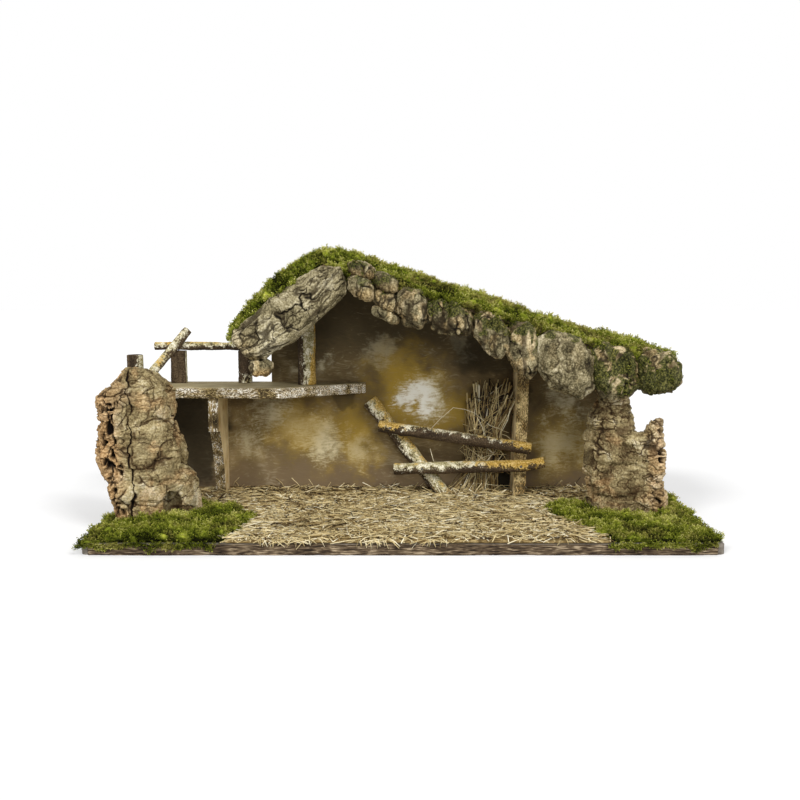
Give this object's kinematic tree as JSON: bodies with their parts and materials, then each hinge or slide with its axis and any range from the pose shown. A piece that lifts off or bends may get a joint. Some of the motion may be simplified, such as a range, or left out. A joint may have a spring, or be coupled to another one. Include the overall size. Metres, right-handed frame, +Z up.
{
  "type": "nativity stable",
  "caption": "Wooden nativity stable: a board stage with a painted gable wall, a loft with a railing, a manger with straw, and a mossy roof edged with bark on bark piers.",
  "frame": {"origin": "on the ground under the middle of the base board's footprint, strip included", "axes": "+X to the right as seen from the open front, +Y to the back, +Z up"},
  "size_m": [0.6069, 0.25, 0.2879],
  "materials": {
    "base_wood": "raw",
    "bark_strip": "raw bark",
    "painted_wall": "sponged matt paint",
    "loft_wood": "dry-brushed stain",
    "roof_board": "raw",
    "dark_branch": "bark on",
    "lichen_branch": "bark on, lichen",
    "bark": "raw cork bark",
    "grey_bark": "weathered bark",
    "moss": "dried moss",
    "straw": "dry straw",
    "brad_steel": "bright wire"
  },
  "bodies": {
    "root": {"back_wall": "painted_wall", "base_board": "base_wood", "birch_post": "lichen_branch", "floor_straw": "straw", "front_bark_strip": "bark_strip", "ground_moss_left": "moss", "ground_moss_right": "moss", "leaning_log": "lichen_branch", "leaning_stick": "dark_branch", "loft_bracket": "loft_wood", "loft_floor": "loft_wood", "manger_brads": "brad_steel", "manger_rail_lower": "lichen_branch", "manger_rail_upper": "lichen_branch", "pier_left_bark": "bark", "pier_left_core": "dark_branch", "pier_right_bark": "bark", "pier_right_core": "dark_branch", "railing_brads": "brad_steel", "railing_post_flat": "dark_branch", "railing_post_round": "dark_branch", "railing_rail": "dark_branch", "roof_bark_brow_1": "grey_bark", "roof_bark_brow_2": "grey_bark", "roof_bark_brow_3": "grey_bark", "roof_bark_end": "grey_bark", "roof_bark_folded": "grey_bark", "roof_bark_knob": "grey_bark", "roof_bark_mossy": "grey_bark", "roof_bark_nose": "grey_bark", "roof_bark_ribbed": "grey_bark", "roof_bark_ridge_1": "grey_bark", "roof_bark_ridge_2": "grey_bark", "roof_bark_round": "grey_bark", "roof_bark_slab": "grey_bark", "roof_bark_split": "grey_bark", "roof_brads": "brad_steel", "roof_moss_left": "moss", "roof_moss_right": "moss", "roof_panel_left": "roof_board", "roof_panel_right": "roof_board", "stall_post": "loft_wood", "straw_sheaf": "straw", "wall_brads": "brad_steel"}
  },
  "joints": []
}
